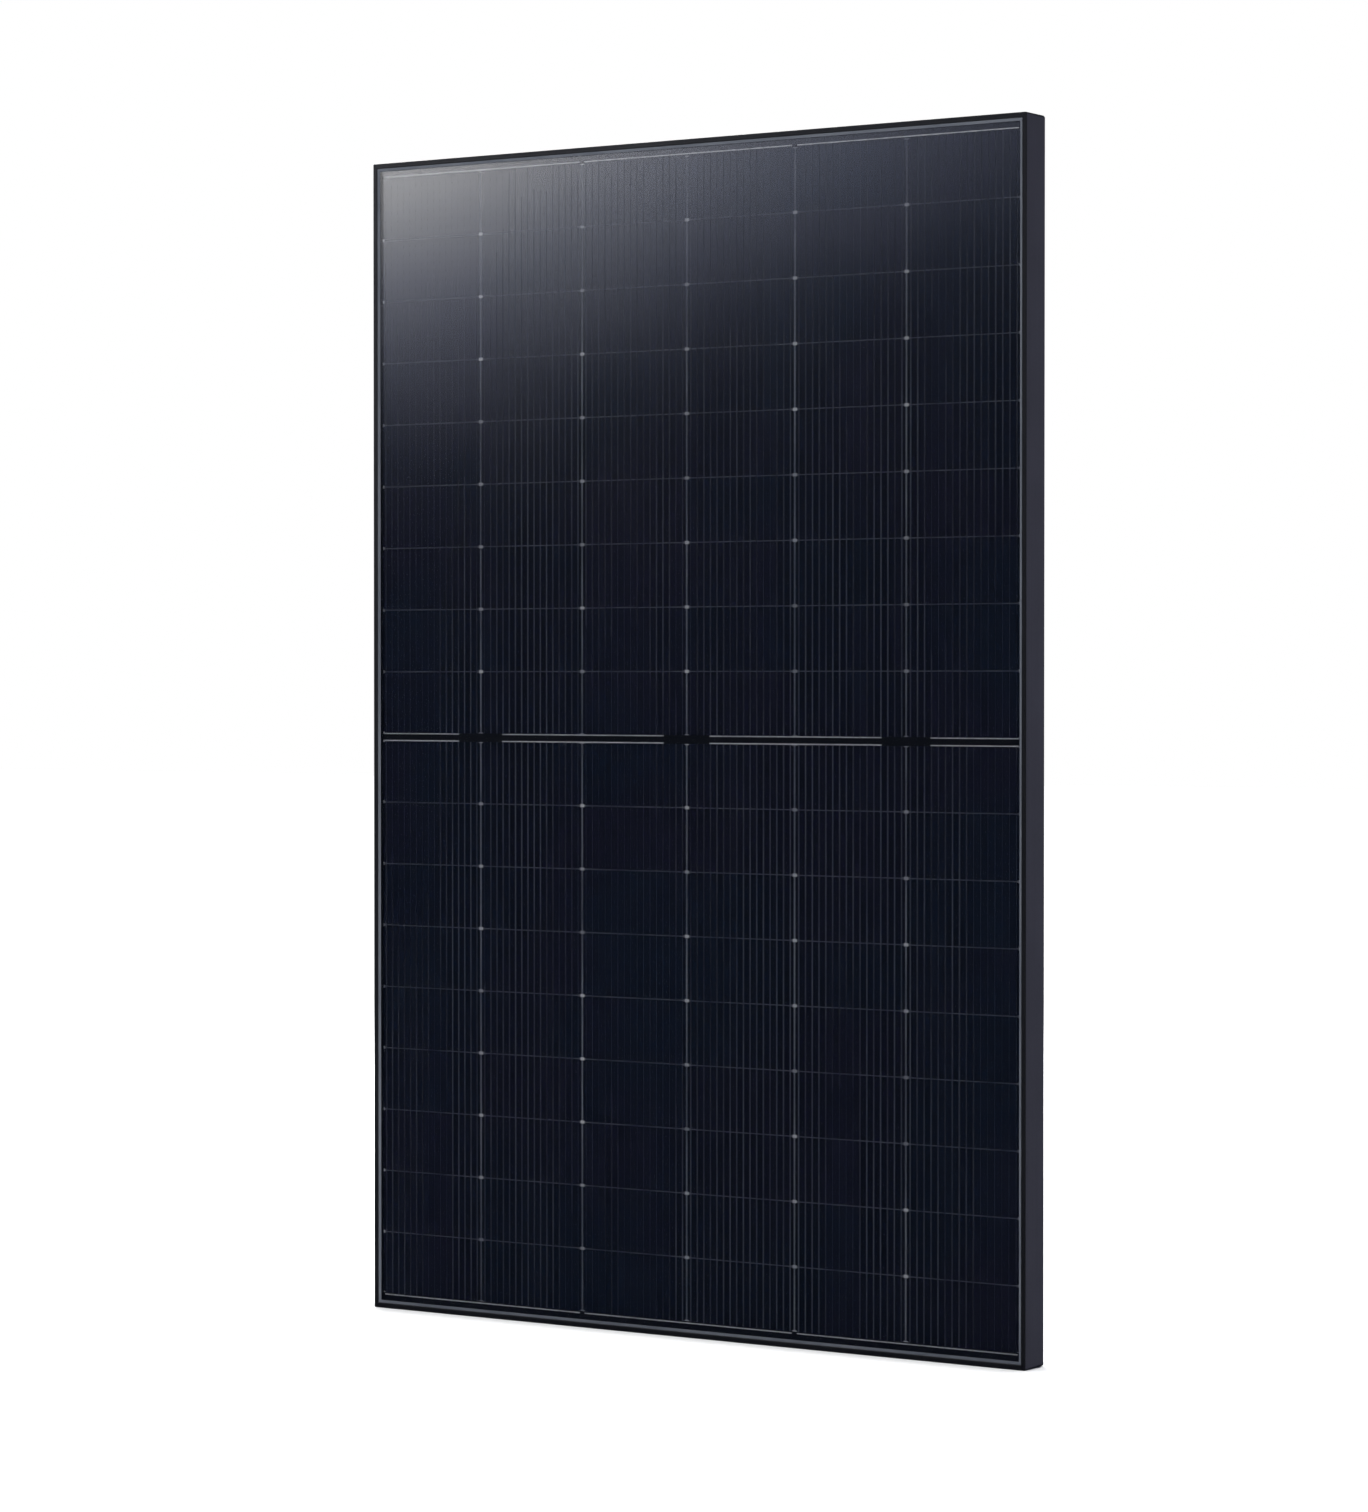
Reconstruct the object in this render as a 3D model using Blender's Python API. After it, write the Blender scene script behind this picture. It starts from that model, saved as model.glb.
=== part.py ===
"""Framed solar panel: 108 half cells under glass in a black aluminium frame, and three junction boxes.

Run with: blender --background --python part.py
Frame: metres, +Z up. The panel stands on its lower edge with its glass facing -Y. The origin is the
bottom centre of its box. Distances named v run rearwards from the frame's front face, and distances
named u run inwards from the frame's outer faces.
"""

import math

import bmesh
import bpy

MM = 0.001

# Whole panel
WIDTH = 1134 * MM
HEIGHT = 1722 * MM
DEPTH = 50 * MM
MIDDLE_Z = HEIGHT / 2

# Frame profile
WALL = 1.8 * MM
LIP_WIDTH = 7.5 * MM
LIP_THICKNESS = 1.8 * MM
LIP_CHAMFER = 0.8 * MM
NOSE_RADIUS = 0.8 * MM
NOSE_STEPS = 4
HEEL_CHAMFER = 0.4 * MM
SHELF_V = 8.45 * MM
CHAMBER_WIDTH = 8.0 * MM
FLANGE_WIDTH = 30 * MM
FLANGE_THICKNESS = 1.8 * MM
FRONT_CORNER_RADIUS = 2.5 * MM
REAR_CORNER_RADIUS = 5 * MM
CORNER_STEPS = 6
MITRE_GAP = 0.15 * MM

# Holes in the rear flanges
HOLE_U = 20.5 * MM
BOLT_SLOT = (14 * MM, 9 * MM)
BOLT_SLOT_OFFSETS = (495 * MM, 700 * MM)
DRAIN_SLOT = (14 * MM, 4 * MM)
DRAIN_SLOT_OFFSET = 480 * MM
GROUND_HOLE_DIAMETER = 4.2 * MM
GROUND_HOLE_OFFSET = 120 * MM

# Corner keys, pressed into the rails' chambers
KEY_LEG = 62 * MM
KEY_FIT = 0.3 * MM
KEY_TEETH = 6
KEY_TOOTH_PITCH = 7 * MM
KEY_TOOTH_HEIGHT = 0.9 * MM
KEY_CLEAR_OF_CORNER = 14 * MM

# Laminate, as layers from the front
GLASS = (2.5 * MM, 5.7 * MM)
FRONT_ENCAPSULANT = (5.8 * MM, 6.1 * MM)
COVER_STRIP = (6.15 * MM, 6.3 * MM)
WIRE = (6.35 * MM, 6.6 * MM)
CELL = (6.66 * MM, 6.86 * MM)
REAR_ENCAPSULANT = (6.95 * MM, 7.45 * MM)
BACKSHEET = (7.55 * MM, 7.85 * MM)
GLASS_EDGE_U = 2.8 * MM
GLASS_CORNER = 2 * MM
SHEET_EDGE_U = 3.2 * MM

# Silicone sealant round the laminate's edge
SEALANT_GAP = 0.1 * MM
FRONT_BEAD_WIDTH = 4.0 * MM
REAR_BEAD_WIDTH = 2.0 * MM

# Cells
COLUMNS = 6
ROWS_PER_HALF = 9
CELL_WIDTH = 182.2 * MM
CELL_HEIGHT = 91.1 * MM
CELL_CORNER = (6 * MM, 2 * MM)
COLUMN_GAP = 3 * MM
ROW_GAP = 1.5 * MM
CENTRE_GAP = 12.4 * MM
LINK_WIDTH = 4 * MM
LINK_PLACES = (0.25, 0.75)

# Wires and bus ribbons
WIRES_PER_CELL = 16
WIRE_WIDTH = 0.3 * MM
END_RIBBON_WIDTH = 6 * MM
END_RIBBON_CLEARANCE = 2 * MM
CENTRE_RIBBON_WIDTH = 11.8 * MM
RIBBON_INSET = 3 * MM
WIRE_ON_RIBBON = 2 * MM
EXPOSED_EDGE = 1.5 * MM
PATCH_SIZE = (80 * MM, 13 * MM)
END_STRIP_WIDTH = 7.5 * MM
TAIL_OFFSET = 5 * MM
TAIL_TOP_V = 12.5 * MM
TAIL_REACH = 9 * MM
TAIL_SLOT = (18 * MM, 13 * MM)

# Junction boxes, one behind every second column boundary
BOX_SIZE = (82 * MM, 58 * MM)
BOX_RADIUS = 5 * MM
BOX_WALL = 2 * MM
BOX_FOOT = 4 * MM
BOX_FOOT_THICKNESS = 1.5 * MM
BOX_FLOOR_V = 8.85 * MM
BOX_RIM_V = 24.5 * MM
BOX_OPENING = (34 * MM, 18 * MM)
ADHESIVE_V = (7.95 * MM, 8.75 * MM)
ADHESIVE_INSET = 3 * MM
LID_FIT = 0.3 * MM
LID_WALL = 1.4 * MM
LID_SKIRT_V = 19.5 * MM
LID_TOP_V = 27 * MM
LID_BEVEL = 0.9 * MM
LID_FIELD = (58 * MM, 34 * MM)
LID_FIELD_DEPTH = 0.6 * MM
LID_NOTCH = (9 * MM, 2.4 * MM)
GLAND_V = 18 * MM
GLAND_RADIUS = 5.6 * MM
GLAND_LENGTH = 11 * MM
GLAND_BORE_RADIUS = 4.4 * MM
NUT_RADIUS = 7.2 * MM
NUT_LENGTH = 13 * MM
NUT_START = 2.2 * MM
NUT_MOUTH_RADIUS = 3.5 * MM
NUT_NOSE = (3.5 * MM, 2.6 * MM)
GLAND_FIT = 0.3 * MM
ROUND_SIDES = 24
SMOOTH_BELOW = math.radians(30)
SEAL_BORE_RADIUS = 3.1 * MM
SEAL_LENGTH = 9 * MM

# Terminals and bypass diode in each box
TERMINAL_V = (11.15 * MM, 12.15 * MM)
TERMINAL_SIZE = (22 * MM, 34 * MM)
TERMINAL_START = 6.5 * MM
DIODE_SIZE = (16 * MM, 11 * MM)
DIODE_V = (12.5 * MM, 17 * MM)
DIODE_Z = 12 * MM
DIODE_LEG = (1.2 * MM, 0.8 * MM)

COLUMN_PITCH = CELL_WIDTH + COLUMN_GAP
ROW_PITCH = CELL_HEIGHT + ROW_GAP
CELLS_LEFT = -(COLUMNS * CELL_WIDTH + (COLUMNS - 1) * COLUMN_GAP) / 2
HALF_STRING_END = CENTRE_GAP / 2 + (ROWS_PER_HALF - 1) * ROW_PITCH + CELL_HEIGHT
BOX_PLACES = {"left": -2 * COLUMN_PITCH, "middle": 0.0, "right": 2 * COLUMN_PITCH}
OUTWARD = {"left": -1, "middle": 0, "right": 1}
HALVES = {"upper": 1, "lower": -1}

COLOURS = {
    "black_anodised": ((0.030, 0.030, 0.038), 0.45, 1.0),
    "mill_aluminium": ((0.60, 0.60, 0.62), 0.35, 1.0),
    "silicone": ((0.10, 0.11, 0.13), 0.5, 0.0),
    "solar_glass": ((0.55, 0.62, 0.62), 0.08, 0.0),
    "encapsulant": ((0.75, 0.76, 0.74), 0.3, 0.0),
    "silicon_cell": ((0.006, 0.009, 0.022), 0.35, 0.0),
    "tinned_copper": ((0.55, 0.55, 0.56), 0.35, 1.0),
    "black_film": ((0.008, 0.008, 0.010), 0.6, 0.0),
    "black_backsheet": ((0.030, 0.032, 0.038), 0.7, 0.0),
    "box_plastic": ((0.012, 0.012, 0.013), 0.5, 0.0),
    "box_adhesive": ((0.020, 0.020, 0.021), 0.6, 0.0),
    "gland_rubber": ((0.015, 0.015, 0.015), 0.8, 0.0),
    "diode_epoxy": ((0.010, 0.010, 0.011), 0.4, 0.0),
}


def clear_scene():
    for item in list(bpy.data.objects):
        bpy.data.objects.remove(item)


def material(name):
    found = bpy.data.materials.get(name)
    if found:
        return found
    colour, roughness, metallic = COLOURS[name]
    made = bpy.data.materials.new(name)
    made.use_nodes = True
    shader = made.node_tree.nodes["Principled BSDF"]
    shader.inputs["Base Color"].default_value = (*colour, 1)
    shader.inputs["Roughness"].default_value = roughness
    shader.inputs["Metallic"].default_value = metallic
    return made


def object_from(bm, name, material_name):
    bmesh.ops.recalc_face_normals(bm, faces=bm.faces)
    mesh = bpy.data.meshes.new(name)
    bm.to_mesh(mesh)
    bm.free()
    made = bpy.data.objects.new(name, mesh)
    bpy.context.scene.collection.objects.link(made)
    if material_name:
        mesh.materials.append(material(material_name))
    return made


def y_of(v):
    return v - DEPTH / 2


def extrude_all(bm, shift):
    """Thickens every face of a flat mesh by shift."""
    made = bmesh.ops.extrude_face_region(bm, geom=list(bm.faces))["geom"]
    moved = [part for part in made if isinstance(part, bmesh.types.BMVert)]
    bmesh.ops.translate(bm, verts=moved, vec=shift)


def plate(name, outline, v_range, material_name):
    """A flat piece parallel to the glass: an (x, z) outline from v_range[0] back to v_range[1]."""
    bm = bmesh.new()
    bm.faces.new([bm.verts.new((x, y_of(v_range[0]), z)) for x, z in outline])
    extrude_all(bm, (0, v_range[1] - v_range[0], 0))
    return object_from(bm, name, material_name)


def bar(name, outline, z_range, material_name):
    """A piece of constant section along Z: an (x, v) outline from z_range[0] up to z_range[1]."""
    bm = bmesh.new()
    bm.faces.new([bm.verts.new((x, y_of(v), z_range[0])) for x, v in outline])
    extrude_all(bm, (0, 0, z_range[1] - z_range[0]))
    return object_from(bm, name, material_name)


def turned(name, profile, x_start, x_sign, material_name):
    """A ring about the cable glands' axis; the profile is a closed list of (distance along, radius)."""
    bm = bmesh.new()
    rings = []
    for step in range(ROUND_SIDES):
        angle = 2 * math.pi * step / ROUND_SIDES
        rings.append([
            bm.verts.new((
                x_start + x_sign * along,
                y_of(GLAND_V) + radius * math.cos(angle),
                MIDDLE_Z + radius * math.sin(angle),
            ))
            for along, radius in profile
        ])
    for step in range(ROUND_SIDES):
        near, far = rings[step], rings[(step + 1) % ROUND_SIDES]
        for i in range(len(profile)):
            j = (i + 1) % len(profile)
            bm.faces.new((near[i], near[j], far[j], far[i]))
    made = object_from(bm, name, material_name)
    for polygon in made.data.polygons:
        polygon.use_smooth = True
    made.data.set_sharp_from_angle(angle=SMOOTH_BELOW)
    return made


def rectangle(x0, z0, x1, z1):
    return [(x0, z0), (x1, z0), (x1, z1), (x0, z1)]


def rounded_rectangle(centre, size, radius, steps=4):
    """Outline of a rectangle with round corners, counter-clockwise."""
    points = []
    for turn, (sx, sz) in enumerate(((1, 1), (-1, 1), (-1, -1), (1, -1))):
        corner_x = centre[0] + sx * (size[0] / 2 - radius)
        corner_z = centre[1] + sz * (size[1] / 2 - radius)
        for step in range(steps + 1):
            angle = math.pi / 2 * (turn + step / steps)
            points.append((corner_x + radius * math.cos(angle), corner_z + radius * math.sin(angle)))
    return points


def slot_outline(centre, size, steps=7):
    """Outline of a slot with round ends, longer along the side that size names longer."""
    radius = min(size) / 2
    reach = max(size) / 2 - radius
    points = []
    for end in (1, -1):
        for step in range(steps + 1):
            angle = math.pi * (step / steps - 0.5) + (0 if end == 1 else math.pi)
            along = end * reach + radius * math.cos(angle)
            across = radius * math.sin(angle)
            if size[0] >= size[1]:
                points.append((centre[0] + along, centre[1] + across))
            else:
                points.append((centre[0] - across, centre[1] + along))
    return points


def combine(target, tool, operation):
    """Cuts tool from target, or joins it on, and leaves tool out of the model."""
    tool.hide_render = True
    tool.display_type = "WIRE"
    modifier = target.modifiers.new(operation.lower(), "BOOLEAN")
    modifier.operation = operation
    modifier.object = tool
    modifier.solver = "EXACT"


def cut(target, tool):
    combine(target, tool, "DIFFERENCE")


def join(target, tool):
    combine(target, tool, "UNION")


# ---- frame ----


def profile_outline():
    """The rail's outer outline as (u, v), from the outer face over the lip and round to the rear flange."""
    nose = []
    for step in range(NOSE_STEPS + 1):
        angle = math.pi / 2 * step / NOSE_STEPS
        nose.append((NOSE_RADIUS * (1 - math.cos(angle)), NOSE_RADIUS * (1 - math.sin(angle))))
    inner_wall = WALL + CHAMBER_WIDTH + WALL
    return nose + [
        (LIP_WIDTH - LIP_CHAMFER, 0),
        (LIP_WIDTH, LIP_CHAMFER),
        (LIP_WIDTH, LIP_THICKNESS),
        (WALL, LIP_THICKNESS),
        (WALL, SHELF_V),
        (inner_wall, SHELF_V),
        (inner_wall, DEPTH - FLANGE_THICKNESS),
        (FLANGE_WIDTH, DEPTH - FLANGE_THICKNESS),
        (FLANGE_WIDTH, DEPTH),
        (HEEL_CHAMFER, DEPTH),
        (0, DEPTH - HEEL_CHAMFER),
    ]


def chamber_outline():
    near, far = SHELF_V + WALL, DEPTH - FLANGE_THICKNESS
    return [(WALL, near), (WALL + CHAMBER_WIDTH, near), (WALL + CHAMBER_WIDTH, far), (WALL, far)]


def place_on(side, s, u, v):
    """The point s along a rail from its middle, u in from its outer face and v behind the front."""
    if side == "left":
        return (-WIDTH / 2 + u, y_of(v), MIDDLE_Z + s)
    if side == "right":
        return (WIDTH / 2 - u, y_of(v), MIDDLE_Z + s)
    if side == "bottom":
        return (s, y_of(v), u)
    return (s, y_of(v), HEIGHT - u)


def rail_length(side):
    return HEIGHT if side in ("left", "right") else WIDTH


def rail_prism(name, side, outline, past_end, material_name):
    """The outline drawn along a rail, its ends mitred at 45 degrees and moved out by past_end."""
    half = rail_length(side) / 2 + past_end
    bm = bmesh.new()
    ends = [
        [bm.verts.new(place_on(side, sign * (half - u), u, v)) for u, v in outline] for sign in (-1, 1)
    ]
    bm.faces.new(ends[0])
    bm.faces.new(ends[1])
    for i in range(len(outline)):
        j = (i + 1) % len(outline)
        bm.faces.new((ends[0][i], ends[0][j], ends[1][j], ends[1][i]))
    return object_from(bm, name, material_name)


def flange_cutter(name, side, s, size):
    """A slot through the rear flange, long along the rail."""
    x, _, z = place_on(side, s, HOLE_U, 0)
    along_z = side in ("left", "right")
    outline = slot_outline((x, z), (size[1], size[0]) if along_z else size)
    return plate(name, outline, (DEPTH - 3 * FLANGE_THICKNESS, DEPTH + FLANGE_THICKNESS), None)


def corner_cutter(x_sign, z_sign):
    """What easing the frame's corner takes away; the rounding widens from the front to the rear."""
    past = 2 * MM
    bm = bmesh.new()
    ends = []
    for v, radius in ((-past, FRONT_CORNER_RADIUS), (DEPTH + past, REAR_CORNER_RADIUS)):
        centre_x = x_sign * (WIDTH / 2 - radius)
        centre_z = MIDDLE_Z + z_sign * (HEIGHT / 2 - radius)
        outline = []
        for step in range(CORNER_STEPS + 1):
            angle = math.pi / 2 * step / CORNER_STEPS
            reach = radius * (1.01 if step in (0, CORNER_STEPS) else 1)
            outline.append((
                centre_x + x_sign * reach * math.cos(angle),
                centre_z + z_sign * reach * math.sin(angle),
            ))
        out_x = x_sign * (WIDTH / 2 + past)
        out_z = MIDDLE_Z + z_sign * (HEIGHT / 2 + past)
        outline += [(centre_x, out_z), (out_x, out_z), (out_x, centre_z)]
        ends.append([bm.verts.new((x, y_of(v), z)) for x, z in outline])
    bm.faces.new(ends[0])
    bm.faces.new(ends[1])
    for i in range(len(ends[0])):
        j = (i + 1) % len(ends[0])
        bm.faces.new((ends[0][i], ends[0][j], ends[1][j], ends[1][i]))
    return object_from(bm, "corner_cutter", None)


def make_rail(side, corner_cutters):
    rail = rail_prism(f"frame_rail_{side}", side, profile_outline(), -MITRE_GAP, "black_anodised")
    cut(rail, rail_prism("chamber_cutter", side, chamber_outline(), 3 * MM, None))
    if side in ("left", "right"):
        holes = [(sign * s, BOLT_SLOT) for s in BOLT_SLOT_OFFSETS for sign in (-1, 1)]
        round_hole = (GROUND_HOLE_DIAMETER * 1.001, GROUND_HOLE_DIAMETER)
        holes += [(sign * GROUND_HOLE_OFFSET, round_hole) for sign in (-1, 1)]
    else:
        holes = [(sign * DRAIN_SLOT_OFFSET, DRAIN_SLOT) for sign in (-1, 1)]
    for s, size in holes:
        cut(rail, flange_cutter("flange_cutter", side, s, size))
    for cutter in corner_cutters[side]:
        cut(rail, cutter)


def make_frame():
    corners = {(x, z): corner_cutter(x, z) for x in (-1, 1) for z in (-1, 1)}
    corner_cutters = {
        "left": [corners[-1, -1], corners[-1, 1]],
        "right": [corners[1, -1], corners[1, 1]],
        "bottom": [corners[-1, -1], corners[1, -1]],
        "top": [corners[-1, 1], corners[1, 1]],
    }
    for side in ("left", "right", "bottom", "top"):
        make_rail(side, corner_cutters)


def key_leg_inner_edge(inner):
    """The toothed inner edge of one leg, from the crook to the tip, as (along, across)."""
    points = []
    for tooth in range(KEY_TEETH):
        start = KEY_CLEAR_OF_CORNER + tooth * KEY_TOOTH_PITCH
        points.append((start, inner - KEY_TOOTH_HEIGHT))
        points.append((start + KEY_TOOTH_PITCH * 0.75, inner))
    return points


def make_corner_key(name, x_sign, z_sign):
    """An L of aluminium with barbed legs, inside the chambers of two rails."""
    outer = WALL + KEY_FIT
    inner = WALL + CHAMBER_WIDTH - KEY_FIT
    tip_taper = 2 * MM
    teeth = key_leg_inner_edge(inner)
    tip = [(KEY_LEG - tip_taper, inner - KEY_TOOTH_HEIGHT), (KEY_LEG, inner - 2 * tip_taper)]
    leg = teeth + tip
    outline = [(outer, outer), (KEY_LEG, outer)]
    outline += [(along, across) for along, across in reversed(leg)]
    outline += [(inner, inner)]
    outline += [(across, along) for along, across in leg]
    outline += [(outer, KEY_LEG)]
    placed = [
        (x_sign * (WIDTH / 2 - a), MIDDLE_Z + z_sign * (HEIGHT / 2 - b)) for a, b in outline
    ]
    v_range = (SHELF_V + WALL + KEY_FIT, DEPTH - FLANGE_THICKNESS - KEY_FIT)
    plate(name, placed, v_range, "mill_aluminium")


def make_corner_keys():
    for x_name, x_sign in (("left", -1), ("right", 1)):
        for z_name, z_sign in (("bottom", -1), ("top", 1)):
            make_corner_key(f"corner_key_{z_name}_{x_name}", x_sign, z_sign)


def make_sealant():
    """One ring of silicone round the laminate, with a fillet against the lip and one against the shelf."""
    gap = SEALANT_GAP
    shelf_end = WALL + CHAMBER_WIDTH + WALL
    section = [
        (LIP_WIDTH + gap, LIP_CHAMFER),
        (LIP_WIDTH + FRONT_BEAD_WIDTH, GLASS[0] - 2 * gap),
        (LIP_WIDTH + FRONT_BEAD_WIDTH, GLASS[0] - gap),
        (GLASS_EDGE_U - gap, GLASS[0] - gap),
        (GLASS_EDGE_U - gap, BACKSHEET[1] + gap),
        (shelf_end + REAR_BEAD_WIDTH, BACKSHEET[1] + gap),
        (shelf_end + REAR_BEAD_WIDTH, BACKSHEET[1] + 2 * gap),
        (shelf_end + gap, SHELF_V + WALL * 0.6),
        (shelf_end + gap, SHELF_V - gap),
        (WALL + gap, SHELF_V - gap),
        (WALL + gap, LIP_THICKNESS + gap),
        (LIP_WIDTH + gap, LIP_THICKNESS + gap),
    ]
    bm = bmesh.new()
    rings = []
    for sx, sz in ((-1, -1), (1, -1), (1, 1), (-1, 1)):
        rings.append([
            bm.verts.new((sx * (WIDTH / 2 - u), y_of(v), MIDDLE_Z + sz * (HEIGHT / 2 - u)))
            for u, v in section
        ])
    for step in range(4):
        near, far = rings[step], rings[(step + 1) % 4]
        for i in range(len(section)):
            j = (i + 1) % len(section)
            bm.faces.new((near[i], near[j], far[j], far[i]))
    object_from(bm, "edge_sealant", "silicone")


# ---- laminate ----


def chamfered_sheet(edge_u, chamfer):
    """Outline of a sheet that fills the frame to edge_u, its corners cut off."""
    x, low, high = WIDTH / 2 - edge_u, edge_u, HEIGHT - edge_u
    c = chamfer
    return [
        (-x + c, low), (x - c, low), (x, low + c), (x, high - c),
        (x - c, high), (-x + c, high), (-x, high - c), (-x, low + c),
    ]


def make_sheets():
    plate("front_glass", chamfered_sheet(GLASS_EDGE_U, GLASS_CORNER), GLASS, "solar_glass")
    side = WIDTH / 2 - SHEET_EDGE_U
    sheet = rectangle(-side, SHEET_EDGE_U, side, HEIGHT - SHEET_EDGE_U)
    plate("front_encapsulant", sheet, FRONT_ENCAPSULANT, "encapsulant")
    rear = plate("rear_encapsulant", sheet, REAR_ENCAPSULANT, "encapsulant")
    back = plate("backsheet", sheet, BACKSHEET, "black_backsheet")
    for x in BOX_PLACES.values():
        slot = rounded_rectangle((x, MIDDLE_Z), TAIL_SLOT, 1.5 * MM)
        cut(rear, plate("ribbon_slot_cutter", slot, (CELL[1], BACKSHEET[0]), None))
        cut(back, plate("ribbon_slot_cutter", slot, (REAR_ENCAPSULANT[1], BOX_FLOOR_V), None))


def column_left(column):
    return CELLS_LEFT + column * COLUMN_PITCH


def make_string(half, column):
    """One string of nine half cells in a column, linked across each gap, with every cell's corners cut."""
    sign = HALVES[half]
    x0, x1 = column_left(column), column_left(column) + CELL_WIDTH
    links = []
    for share in LINK_PLACES:
        middle = x0 + share * CELL_WIDTH
        links += [middle - LINK_WIDTH / 2, middle + LINK_WIDTH / 2]
    cut_x, cut_z = CELL_CORNER
    bm = bmesh.new()
    made = {}

    def vertex(x, z):
        key = (round(x, 7), round(z, 7))
        if key not in made:
            made[key] = bm.verts.new((x, y_of(CELL[0]), MIDDLE_Z + sign * z))
        return made[key]

    for row in range(ROWS_PER_HALF):
        near = CENTRE_GAP / 2 + row * ROW_PITCH
        far = near + CELL_HEIGHT
        near_links = links if row > 0 else []
        far_links = links if row < ROWS_PER_HALF - 1 else []
        outline = [(x0 + cut_x, near)] + [(x, near) for x in near_links]
        outline += [(x1 - cut_x, near), (x1, near + cut_z), (x1, far - cut_z), (x1 - cut_x, far)]
        outline += [(x, far) for x in reversed(far_links)]
        outline += [(x0 + cut_x, far), (x0, far - cut_z), (x0, near + cut_z)]
        bm.faces.new([vertex(x, z) for x, z in outline])
        for left, right in zip(far_links[::2], far_links[1::2]):
            corners = [(left, far), (right, far), (right, far + ROW_GAP), (left, far + ROW_GAP)]
            bm.faces.new([vertex(x, z) for x, z in corners])
    extrude_all(bm, (0, CELL[1] - CELL[0], 0))
    object_from(bm, f"cell_string_{half}_{column + 1}", "silicon_cell")


def make_wires(half, pair):
    """The end ribbon of two neighbouring strings with the sixteen wires of each soldered to it."""
    sign = HALVES[half]
    columns = (2 * pair, 2 * pair + 1)
    ribbon_near = HALF_STRING_END + END_RIBBON_CLEARANCE
    ribbon_far = ribbon_near + END_RIBBON_WIDTH
    ribbon_left = column_left(columns[0]) + RIBBON_INSET
    ribbon_right = column_left(columns[1]) + CELL_WIDTH - RIBBON_INSET
    wire_end = CENTRE_RIBBON_WIDTH / 2 - WIRE_ON_RIBBON
    wires = [
        column_left(column) + (i + 0.5) * CELL_WIDTH / WIRES_PER_CELL
        for column in columns
        for i in range(WIRES_PER_CELL)
    ]
    bm = bmesh.new()

    def vertex(x, z):
        return bm.verts.new((x, y_of(WIRE[0]), MIDDLE_Z + sign * z))

    near_edge = [vertex(ribbon_left, ribbon_near)]
    for x in wires:
        left = vertex(x - WIRE_WIDTH / 2, ribbon_near)
        right = vertex(x + WIRE_WIDTH / 2, ribbon_near)
        tip_left = vertex(x - WIRE_WIDTH / 2, wire_end)
        tip_right = vertex(x + WIRE_WIDTH / 2, wire_end)
        bm.faces.new((tip_left, tip_right, right, left))
        near_edge += [left, right]
    near_edge.append(vertex(ribbon_right, ribbon_near))
    far_edge = [vertex(ribbon_right, ribbon_far), vertex(ribbon_left, ribbon_far)]
    bm.faces.new(near_edge + far_edge)
    extrude_all(bm, (0, WIRE[1] - WIRE[0], 0))
    object_from(bm, f"wires_{half}_{'abc'[pair]}", "tinned_copper")


def tail(box_x, side):
    """A ribbon's end: back through the slot of the box at box_x, then over its terminal plate."""
    thick = CELL[1] - CELL[0]
    inner = box_x + side * TAIL_OFFSET
    outer = inner + side * thick
    reach = outer + side * TAIL_REACH
    front = [(inner, CELL[0]), (inner, TAIL_TOP_V + thick), (reach, TAIL_TOP_V + thick)]
    back = [(reach, TAIL_TOP_V), (outer, TAIL_TOP_V), (outer, CELL[1])]
    return front, back


def make_centre_ribbons():
    """Four ribbons across the middle, which join the strings and end in the junction boxes."""
    left, middle, right = BOX_PLACES.values()
    outer_end = -CELLS_LEFT - RIBBON_INSET
    runs = ((None, left), (left, middle), (middle, right), (right, None))
    half_width = CENTRE_RIBBON_WIDTH / 2
    for number, (start, end) in enumerate(runs):
        outline = []
        if start is None:
            outline += [(-outer_end, CELL[1]), (-outer_end, CELL[0])]
        else:
            front, back = tail(start, 1)
            outline += list(reversed(back)) + list(reversed(front))
        if end is None:
            outline += [(outer_end, CELL[0]), (outer_end, CELL[1])]
        else:
            front, back = tail(end, -1)
            outline += front + back
        bar(
            f"centre_ribbon_{number + 1}",
            outline,
            (MIDDLE_Z - half_width, MIDDLE_Z + half_width),
            "tinned_copper",
        )


def make_cover_strips():
    """Black film over the ribbons, which leaves a thin bright edge of each showing."""
    end = -CELLS_LEFT
    half_strip = CENTRE_RIBBON_WIDTH / 2 - EXPOSED_EDGE
    half_patch = PATCH_SIZE[1] / 2
    upper_edge = [(end, half_strip)]
    for x in sorted(BOX_PLACES.values(), reverse=True):
        near, far = x + PATCH_SIZE[0] / 2, x - PATCH_SIZE[0] / 2
        upper_edge += [(near, half_strip), (near, half_patch), (far, half_patch), (far, half_strip)]
    upper_edge.append((-end, half_strip))
    lower_edge = [(x, -z) for x, z in reversed(upper_edge)]
    outline = [(x, MIDDLE_Z + z) for x, z in upper_edge + lower_edge]
    plate("cover_strip_centre", outline, COVER_STRIP, "black_film")
    near = HALF_STRING_END + END_RIBBON_CLEARANCE + EXPOSED_EDGE
    far = near + END_STRIP_WIDTH
    for half, sign in HALVES.items():
        name = "cover_strip_top" if half == "upper" else "cover_strip_bottom"
        outline = rectangle(-end, MIDDLE_Z + sign * near, end, MIDDLE_Z + sign * far)
        plate(name, outline, COVER_STRIP, "black_film")


# ---- junction boxes ----


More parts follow.
